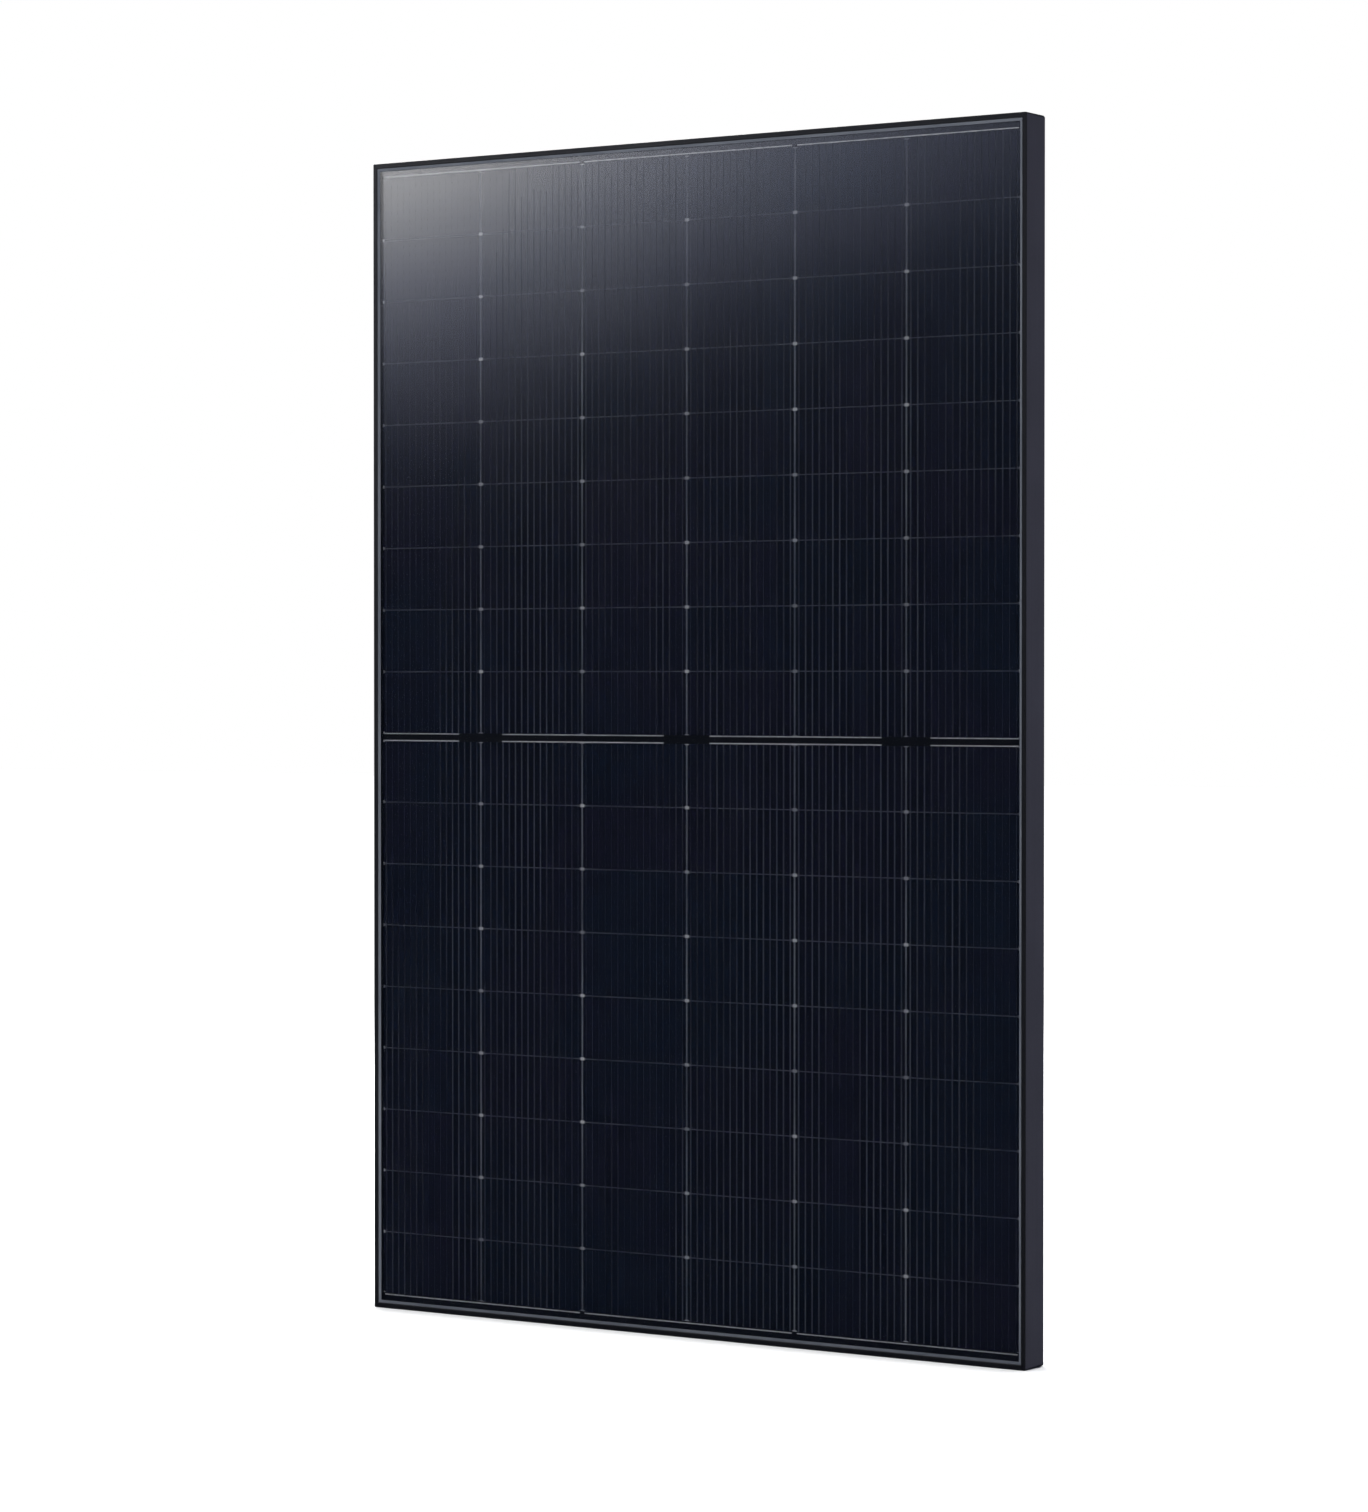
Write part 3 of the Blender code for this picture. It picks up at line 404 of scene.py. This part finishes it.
def plastic(name, tone, roughness, grain_scale, grain_depth):
    """Moulded plastic or rubber with a fine eroded texture."""
    n = Nodes(name)
    grain = n.noise(grain_scale, 3, 0.6)
    cloud = n.noise(25, 3)
    colour = n.mix(cloud, grey(tone * 0.85, 1.03), grey(tone * 1.2, 1.03))
    return n.set(
        Base_Color=colour, Roughness=n.ramp(cloud, 0.3, 0.7, roughness, roughness + 0.08),
        Normal=n.bump(grain, grain_depth, 0.6),
    )


def silicone():
    """Grey sealant, tooled smooth: a skin with slow ripples along it. Its pale bluish grey is partly the
    sealant's own colour and partly a painted highlight along the glass's edge.
    """
    n = Nodes("silicone")
    ripple = n.noise(140, 3, 0.5)
    cloud = n.noise(12, 3)
    colour = n.mix(n.ramp(cloud, 0.3, 0.7), (0.150, 0.165, 0.195, 1), (0.190, 0.205, 0.235, 1))
    return n.set(
        Base_Color=colour, Roughness=n.ramp(ripple, 0.3, 0.7, 0.17, 0.24), IOR=1.62,
        Normal=n.bump(ripple, 0.05 * MM, 0.3),
    )


def clear_film():
    """The encapsulant: nearly clear, slightly hazy."""
    n = Nodes("clear_film")
    haze = n.noise(15, 3)
    return n.set(Base_Color=(0.1, 0.11, 0.11, 1), Alpha=0.03, Roughness=n.ramp(haze, 0.3, 0.7, 0.3, 0.4))


# ---- shapes ----


def take(obj, material, nodes, body="panel"):
    """Gives a piece its material and body, and hides the CAD nodes that it stands for."""
    obj.data.materials.clear()
    for item in material if isinstance(material, list) else [material]:
        obj.data.materials.append(item)
    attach(obj, body)
    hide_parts(*nodes)


def new_object(name, bm):
    """Turns a finished bmesh into an object of the scene."""
    bmesh.ops.recalc_face_normals(bm, faces=bm.faces)
    mesh = bpy.data.meshes.new(name)
    bm.to_mesh(mesh)
    bm.free()
    obj = bpy.data.objects.new(name, mesh)
    bpy.context.scene.collection.objects.link(obj)
    return obj


def refined(node, name, edge, moulding=None):
    """A copy of a CAD node with its flat faces made whole, its edges rounded and its flats shaded flat.

    moulding is a mesh of small blocks, which become one with the piece before its edges are rounded."""
    bm = bmesh.new()
    bm.from_mesh(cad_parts[node].data)
    bmesh.ops.remove_doubles(bm, verts=bm.verts, dist=0.002 * MM)
    bmesh.ops.dissolve_limit(bm, angle_limit=math.radians(0.5), verts=bm.verts, edges=bm.edges)
    obj = new_object(name, bm)
    if moulding:
        tool = new_object(f"{name}_moulding", moulding)
        union = obj.modifiers.new("moulding", "BOOLEAN")
        union.operation = "UNION"
        union.solver = "EXACT"
        union.object = tool
        settle(obj)
        bpy.data.objects.remove(tool)
    if edge:
        bevel = obj.modifiers.new("edges", "BEVEL")
        bevel.width = edge
        bevel.segments = 2
        bevel.limit_method = "ANGLE"
        bevel.angle_limit = math.radians(35)
        bevel.use_clamp_overlap = True
        settle(obj)
    shade_by_area(obj)
    return obj


def shade_by_area(obj, angle=38):
    """Smooth shading that keeps big flat faces flat and edges over the angle sharp."""
    for polygon in obj.data.polygons:
        polygon.use_smooth = True
    obj.data.set_sharp_from_angle(angle=math.radians(angle))
    weighted = obj.modifiers.new("flats", "WEIGHTED_NORMAL")
    weighted.keep_sharp = True
    weighted.weight = 100
    settle(obj)


def settle(obj):
    """Makes the result of an object's modifiers its mesh."""
    graph = bpy.context.evaluated_depsgraph_get()
    mesh = bpy.data.meshes.new_from_object(obj.evaluated_get(graph))
    obj.modifiers.clear()
    obj.data = mesh


def block(bm, low, high):
    """Adds a box to a mesh and returns its vertices."""
    made = bmesh.ops.create_cube(bm, size=1)["verts"]
    size = Vector(high) - Vector(low)
    middle = (Vector(high) + Vector(low)) / 2
    bmesh.ops.transform(bm, matrix=Matrix.Translation(middle) @ Matrix.Diagonal((*size, 1)), verts=made)
    return made


# ---- cells and wires ----


def make_cells(material):
    """The eighteen half cells of each column, thin plates with cut corners."""
    rng = random.Random(4)
    cut_x, cut_z = CELL_CORNER
    for column in range(COLUMNS):
        x0 = first_low.x + column * COLUMN_PITCH
        x1 = x0 + CELL_WIDTH
        bm = bmesh.new()
        uv = bm.loops.layers.uv.new("cell")
        tint = bm.verts.layers.float.new("tint")
        for sign in HALVES.values():
            for row in range(ROWS_PER_HALF):
                near = CELLS_START + row * ROW_PITCH
                far = near + CELL_HEIGHT
                outline = [
                    (x0 + cut_x, near), (x1 - cut_x, near), (x1, near + cut_z), (x1, far - cut_z),
                    (x1 - cut_x, far), (x0 + cut_x, far), (x0, far - cut_z), (x0, near + cut_z),
                ]
                shade = rng.random()
                rings = []
                for y in (first_low.y, first_high.y):
                    ring = [bm.verts.new((x, y, MIDDLE_Z + sign * z)) for x, z in outline]
                    for vertex in ring:
                        vertex[tint] = shade
                    rings.append(ring)
                faces = [bm.faces.new(rings[0]), bm.faces.new(rings[1])]
                for i in range(len(outline)):
                    j = (i + 1) % len(outline)
                    faces.append(bm.faces.new((rings[0][i], rings[0][j], rings[1][j], rings[1][i])))
                for face in faces:
                    for loop in face.loops:
                        at = loop.vert.co
                        across = column * WIRES_PER_CELL + (at.x - x0) / WIRE_PITCH
                        loop[uv].uv = (across, abs(at.z - MIDDLE_Z) / FINGER_PITCH)
        obj = new_object(f"cells_column_{column + 1}", bm)
        nodes = [f"cell_string_{half}_{column + 1}" for half in HALVES]
        take(obj, material, nodes)


def add_wire(bm, tint, path, radius, shade, sides=6):
    """Adds a wire through points that run mostly along z, with shade as its tint."""
    rings = []
    for x, y, z in path:
        ring = []
        for step in range(sides):
            angle = 2 * math.pi * (step + 0.5) / sides
            vertex = bm.verts.new((x + radius * math.cos(angle), y + radius * math.sin(angle), z))
            vertex[tint] = shade
            ring.append(vertex)
        rings.append(ring)
    for near, far in zip(rings, rings[1:]):
        for i in range(sides):
            j = (i + 1) % sides
            face = bm.faces.new((near[i], near[j], far[j], far[i]))
            face.smooth = True
    bm.faces.new(rings[0])
    bm.faces.new(rings[-1])


def make_wires(wire_material, ribbon_material):
    """Sixteen round wires over each string, and the end ribbons.

    The wires duck towards the back in each row gap, half way from over to under."""
    rng = random.Random(11)
    radius = (wire_high.y - wire_low.y) / 2
    over = (wire_low.y + wire_high.y) / 2
    under = first_low.y + 0.35 * MM
    dive = 3 * MM
    ribbon_near = CELLS_END + END_RIBBON_CLEARANCE
    for column in range(COLUMNS):
        x0 = first_low.x + column * COLUMN_PITCH
        bm = bmesh.new()
        tint = bm.verts.layers.float.new("tint")
        for number in range(WIRES_PER_CELL):
            x = x0 + (number + 0.5) * WIRE_PITCH
            for sign in HALVES.values():
                shade = rng.random()
                lean = rng.uniform(-0.06, 0.06) * MM
                path = [(x, over, CELLS_START - 2.5 * MM)]
                for row in range(ROWS_PER_HALF):
                    near = CELLS_START + row * ROW_PITCH
                    path.append((x + lean, over, near + dive))
                    path.append((x - lean, over, near + CELL_HEIGHT - dive))
                    if row < ROWS_PER_HALF - 1:
                        path.append((x, (over + under) / 2, near + CELL_HEIGHT + ROW_GAP / 2))
                path.append((x, over, ribbon_near + 4 * MM))
                placed = [(px, py, MIDDLE_Z + sign * pz) for px, py, pz in path]
                add_wire(bm, tint, placed, radius, shade)
        obj = new_object(f"wires_column_{column + 1}", bm)
        letter = COLUMN_PAIRS[column // 2]
        take(obj, wire_material, [f"wires_{half}_{letter}" for half in HALVES])
    ribbon_far = ribbon_near + END_RIBBON_WIDTH
    for half, sign in HALVES.items():
        for pair, letter in enumerate(COLUMN_PAIRS):
            left = first_low.x + 2 * pair * COLUMN_PITCH + END_RIBBON_INSET
            right = first_low.x + (2 * pair + 1) * COLUMN_PITCH + CELL_WIDTH - END_RIBBON_INSET
            bottom, top = sorted((MIDDLE_Z + sign * ribbon_near, MIDDLE_Z + sign * ribbon_far))
            bm = bmesh.new()
            block(bm, (left, over - 0.02 * MM, bottom), (right, over + 0.12 * MM, top))
            obj = new_object(f"end_ribbon_{half}_{letter}", bm)
            take(obj, ribbon_material, [f"wires_{half}_{letter}"])


def make_laminate():
    """Glass, cells, wires, ribbons, films and backsheet."""
    cell = silicon_cell()
    ribbon = tinned("ribbon_metal", 0.95, 0.42, 0.25)
    films = {"centre": black_film("centre_film", 0.0028, 0.5, 1.35)}
    films["top"] = films["bottom"] = black_film("margin_film", 0.008, 0.2, 1.72)
    make_cells(cell)
    make_wires(wire_metal(), ribbon)
    for number in range(1, 5):
        node = f"centre_ribbon_{number}"
        take(refined(node, f"ribbon_{number}", 0), ribbon, [node])
    for end in ("centre", "top", "bottom"):
        node = f"cover_strip_{end}"
        take(refined(node, f"film_{end}", 0), films[end], [node])
    sheet = refined("backsheet", "back_film", 0)
    take(sheet, [sheet_rear(), sheet_front()], ["backsheet"])
    for polygon in sheet.data.polygons:
        polygon.material_index = 1 if polygon.normal.y < -0.5 else 0
    glass = refined("front_glass", "glass", 0.5 * MM)
    take(glass, solar_glass(), ["front_glass", "front_encapsulant"])
    take(refined("rear_encapsulant", "rear_film", 0), clear_film(), ["rear_encapsulant"])


def make_frame():
    """Rails, the keys in their corners, and the sealant."""
    black = anodised()
    for side in ("left", "right", "bottom", "top"):
        node = f"frame_rail_{side}"
        take(refined(node, f"rail_{side}", 0.12 * MM), black, [node])
    mill = mill_aluminium()
    for end in ("bottom", "top"):
        for side in ("left", "right"):
            node = f"corner_key_{end}_{side}"
            take(refined(node, f"key_{end}_{side}", 0.2 * MM), mill, [node])
    take(refined("edge_sealant", "bead", 0), silicone(), ["edge_sealant"])


def make_nut(place):
    """A cable gland's nut: a cap with grip flutes, a rounded nose and a bore that steps down to the mouth.

    Each point of its profile is a distance along the nut, a radius, and whether the flutes cut it."""
    low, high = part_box(f"gland_nut_{place}")
    outward = OUTWARD[place]
    radius = (high.z - low.z) / 2
    length = high.x - low.x
    start = low.x if outward > 0 else high.x
    axis_y, axis_z = (low.y + high.y) / 2, (low.z + high.z) / 2
    mouth = 3.5 * MM
    shoulder = length - 4 * MM
    bore = 5.9 * MM
    nose_round = 2.6 * MM
    grip = (1.4 * MM, length - 4 * MM)
    flutes = 16
    steps_per_flute = 6
    flute_depth = 0.45 * MM
    nose_steps = 5
    profile = [
        (0.0, bore, 0), (0.0, radius - 0.3 * MM, 0), (0.3 * MM, radius, 0),
        (grip[0] - 0.2 * MM, radius, 0), (grip[0] + 0.3 * MM, radius, 1),
        (grip[1] - 0.6 * MM, radius, 1), (grip[1], radius, 0),
    ]
    for step in range(1, nose_steps + 1):
        turn = math.pi / 2 * step / nose_steps
        along = grip[1] + (length - grip[1]) * math.sin(turn)
        profile.append((along, radius - nose_round * (1 - math.cos(turn)), 0))
    profile += [
        (length, mouth + 0.4 * MM, 0), (length - 0.4 * MM, mouth, 0),
        (shoulder, mouth, 0), (shoulder, bore, 0),
    ]
    bm = bmesh.new()
    total = flutes * steps_per_flute
    rings = []
    for step in range(total):
        angle = 2 * math.pi * step / total
        wave = (1 - math.cos(2 * math.pi * step / steps_per_flute)) / 2
        ring = []
        for along, size, fluted in profile:
            reach = size - fluted * flute_depth * wave
            x = start + outward * along
            y = axis_y + reach * math.cos(angle)
            ring.append(bm.verts.new((x, y, axis_z + reach * math.sin(angle))))
        rings.append(ring)
    for step in range(total):
        near, far = rings[step], rings[(step + 1) % total]
        for i in range(len(profile)):
            j = (i + 1) % len(profile)
            bm.faces.new((near[i], near[j], far[j], far[i]))
    obj = new_object(f"nut_{place}", bm)
    shade_by_area(obj)
    return obj


def lid_moulding(place):
    """Two groups of grip bars that stand in the lid's sunken field."""
    low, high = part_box(f"junction_box_lid_{place}")
    x, z = (low.x + high.x) / 2, (low.z + high.z) / 2
    half_width, half_height = GRIP_BAR[0] / 2, GRIP_BAR[1] / 2
    near, far = high.y - 1.0 * MM, high.y - 0.15 * MM
    bm = bmesh.new()
    for side in (-1, 1):
        for number in range(4):
            at = x + side * (GRIP_BAR_START + GRIP_BAR_PITCH * number)
            block(bm, (at - half_width, near, z - half_height), (at + half_width, far, z + half_height))
    return bm


def base_moulding(place):
    """Gussets between the box's foot and its walls, and the snap lugs that show in the lid's notches."""
    low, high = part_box(f"junction_box_lid_{place}")
    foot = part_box(f"junction_box_base_{place}")[0].y + FOOT_THICKNESS
    x, z = (low.x + high.x) / 2, (low.z + high.z) / 2
    half = Vector((high.x - low.x, high.z - low.z)) / 2 - Vector((LID_OVERHANG, LID_OVERHANG))
    top = low.y - 1.2 * MM
    bm = bmesh.new()

    def wedge(along, wall, width, reach, y_low, y_high, upright):
        """A block on a wall, which stands out by reach's first value at y_low and by its second at y_high.

        upright says that the wall faces up or down; otherwise it faces sideways."""
        sign = 1 if wall > 0 else -1
        made = block(bm, (-width / 2, y_low, -ROOT), (width / 2, y_high, ROOT))
        for vertex in made:
            out = -ROOT
            if vertex.co.z > 0:
                out = reach[0] if vertex.co.y < (y_low + y_high) / 2 else reach[1]
            a, b = along + vertex.co.x, wall + sign * out
            vertex.co = (x + a, vertex.co.y, z + b) if upright else (x + b, vertex.co.y, z + a)

    def gusset(number, wall, upright):
        wedge(number * GUSSET_PITCH, wall, GUSSET_WIDTH, GUSSET_REACH, foot - 0.5 * MM, top, upright)

    for sign in (-1, 1):
        for number in range(-4, 5):
            gusset(number, sign * half[1], True)
        for share in LUG_PLACES:
            along = share * 2 * half[0]
            wedge(along, sign * half[1], LUG_WIDTH, LUG_REACH, low.y + 0.3 * MM, low.y + 2.1 * MM, True)
        if sign != OUTWARD[place]:
            for number in range(-2, 3):
                gusset(number, sign * half[0], False)
    return bm


def make_boxes():
    """The three junction boxes, with what they hold and the glands of the outer two."""
    moulded = plastic("box_plastic", 0.013, 0.36, 1400, 0.03 * MM)
    glue = plastic("box_adhesive", 0.016, 0.5, 300, 0.1 * MM)
    rubber = plastic("gland_rubber", 0.012, 0.6, 900, 0.05 * MM)
    epoxy = plastic("diode_epoxy", 0.010, 0.32, 1600, 0.02 * MM)
    copper = tinned("terminal_metal", 0.62, 0.28, 0.85)
    for place in PLACES:
        node = f"box_adhesive_{place}"
        take(refined(node, f"glue_{place}", 0.2 * MM), glue, [node])
        node = f"junction_box_base_{place}"
        base = refined(node, f"box_{place}", 0.2 * MM, base_moulding(place))
        take(base, moulded, [node])
        node = f"junction_box_lid_{place}"
        lid = refined(node, f"lid_{place}", 0.2 * MM, lid_moulding(place))
        take(lid, moulded, [node], f"lid_{place}")
        node = f"bypass_diode_{place}"
        take(refined(node, f"diode_{place}", 0.15 * MM), epoxy, [node])
        for end in "ab":
            node = f"terminal_{place}_{end}"
            take(refined(node, f"plate_{place}_{end}", 0.15 * MM), copper, [node])
        if OUTWARD[place]:
            take(make_nut(place), moulded, [f"gland_nut_{place}"])
            node = f"gland_seal_{place}"
            take(refined(node, f"seal_{place}", 0.2 * MM), rubber, [node])


# ---- floor, light and camera ----


def make_floor():
    """A plain pale floor under the lower edge."""
    bpy.ops.mesh.primitive_plane_add(size=60, location=(0, 0, 0))
    floor = bpy.context.object
    floor.name = "floor"
    n = Nodes("floor")
    soft = n.noise(2, 3)
    n.set(Base_Color=n.mix(soft, (0.86, 0.86, 0.86, 1), (0.9, 0.9, 0.9, 1)), Roughness=0.9)
    n.shader.inputs["Specular IOR Level"].default_value = 0
    floor.data.materials.append(n.material)
    floor.visible_glossy = False


def softbox(name, centre, aim, size, power, colour=(1, 1, 1)):
    """A soft rectangular lamp that faces the point aim."""
    light = bpy.data.lights.new(name, "AREA")
    light.shape = "RECTANGLE"
    light.size, light.size_y = size
    light.energy = power
    light.color = colour
    obj = bpy.data.objects.new(name, light)
    bpy.context.scene.collection.objects.link(obj)
    obj.location = centre
    obj.rotation_euler = (Vector(aim) - Vector(centre)).to_track_quat("-Z", "Y").to_euler()
    obj.visible_camera = False
    return obj


def make_world():
    """White behind the panel, and a dim room for everything else to be lit and mirrored by."""
    world = bpy.data.worlds.new("studio")
    bpy.context.scene.world = world
    world.use_nodes = True
    tree = world.node_tree
    tree.nodes.clear()
    backdrop = tree.nodes.new("ShaderNodeBackground")
    backdrop.inputs["Color"].default_value = (1, 1, 1, 1)
    room = tree.nodes.new("ShaderNodeBackground")
    room.inputs["Color"].default_value = (0.018, 0.025, 0.046, 1)
    path = tree.nodes.new("ShaderNodeLightPath")
    mix = tree.nodes.new("ShaderNodeMixShader")
    out = tree.nodes.new("ShaderNodeOutputWorld")
    tree.links.new(path.outputs["Is Camera Ray"], mix.inputs[0])
    tree.links.new(room.outputs[0], mix.inputs[1])
    tree.links.new(backdrop.outputs[0], mix.inputs[2])
    tree.links.new(mix.outputs[0], out.inputs[0])


def glow_card(peak, even, size, fade, radiance):
    """A softbox off to the left, facing the glass, that is brightest at its top left and fades from there.

    peak is where the fading starts, even is the width and height of the even part beyond it, and fade is how
    far, across and down, the light takes to fall to about a third. The faint end of the light is bluer."""
    left, top = peak[0] - even[0], peak[2] + even[1]
    centre = Vector((left + size[0] / 2, peak[1], top - size[1] / 2))
    card = softbox("glow", centre, centre + Vector((0, 1, 0)), size, radiance * math.pi * size[0] * size[1])
    light = card.data
    light.use_nodes = True
    tree = light.node_tree
    split = tree.nodes.new("ShaderNodeSeparateXYZ")
    tree.links.new(tree.nodes.new("ShaderNodeNewGeometry").outputs["Parametric"], split.inputs[0])

    def math_node(operation, a, b=0.0):
        node = tree.nodes.new("ShaderNodeMath")
        node.operation = operation
        for value, socket in zip((a, b), node.inputs):
            if isinstance(value, bpy.types.NodeSocket):
                tree.links.new(value, socket)
            else:
                socket.default_value = value
        return node.outputs[0]

    steps = []
    for along, length, start, third in (
        (split.outputs[0], size[0], even[0], fade[0]),
        (math_node("SUBTRACT", 1.0, split.outputs[1]), size[1], even[1], fade[1]),
    ):
        past = math_node("MULTIPLY", math_node("SUBTRACT", along, start / length), length / third)
        steps.append(math_node("MAXIMUM", past, 0.0))
    strength = math_node("EXPONENT", math_node("MULTIPLY", math_node("ADD", steps[0], steps[1]), -1.0))
    strength = math_node("MAXIMUM", math_node("SUBTRACT", strength, GLOW_CUTOFF), 0.0)
    emission = tree.nodes["Emission"]
    tree.links.new(strength, emission.inputs["Strength"])
    fringe = tree.nodes.new("ShaderNodeMix")
    fringe.data_type = "RGBA"
    tree.links.new(math_node("MINIMUM", math_node("MULTIPLY", strength, 1.8), 1.0), fringe.inputs["Factor"])
    fringe.inputs["A"].default_value = (0.80, 0.91, 1.3, 1)
    fringe.inputs["B"].default_value = (1, 1, 1.02, 1)
    tree.links.new(fringe.outputs["Result"], emission.inputs["Color"])


def make_lights():
    """A high sun, the glow that the glass mirrors, and soft light on both side faces and the back."""
    sun = bpy.data.lights.new("zenith", "SUN")
    sun.energy = 4.0
    sun.angle = math.radians(4)
    bpy.context.scene.collection.objects.link(bpy.data.objects.new("zenith", sun))
    glow_card(peak=(-3.6, -3.9, 2.25), even=(0.9, 0.7), size=(4.1, 1.7), fade=(0.84, 0.22), radiance=4.4)
    softbox("side", (1.9, 2.2, 0.85), (HALF_WIDTH, 0, 0.8), (1.6, 3.2), 9.5, (0.72, 0.72, 1.0))
    softbox("back", (-3.4, 3.4, 3.4), (0, 0, 0.7), (2, 2.6), 260)
    softbox("back fill", (-0.6, 6.0, 1.2), (0, 0, 0.8), (2.2, 2.6), 100)
    softbox("right edge", (6.5, -1.2, 1.6), (HALF_WIDTH, 0, 0.8), (2, 2.6), 22, (0.85, 0.88, 1.0))
    softbox("left edge", (-6.5, 1.2, 1.6), (-HALF_WIDTH, 0, 0.8), (2, 2.6), 22, (0.85, 0.88, 1.0))


def make_camera():
    """A long lens, to the right of the glass's front and just above its middle."""
    yaw = math.radians(34.456)
    pitch = math.radians(0.957)
    distance = 6.567
    aim = Vector((0, FRONT_Y, 0.8375))
    back = Vector((math.sin(yaw) * math.cos(pitch), -math.cos(yaw) * math.cos(pitch), math.sin(pitch)))
    camera = bpy.data.cameras.new("camera")
    camera.lens = 108.8
    camera.sensor_width = 36
    camera.clip_end = 200
    obj = bpy.data.objects.new("camera", camera)
    bpy.context.scene.collection.objects.link(obj)
    obj.location = aim + back * distance
    obj.rotation_euler = (-back).to_track_quat("-Z", "Y").to_euler()
    bpy.context.scene.camera = obj
    bpy.context.scene.view_settings.view_transform = "Standard"


make_laminate()
make_frame()
make_boxes()
make_floor()
make_world()
make_lights()
make_camera()
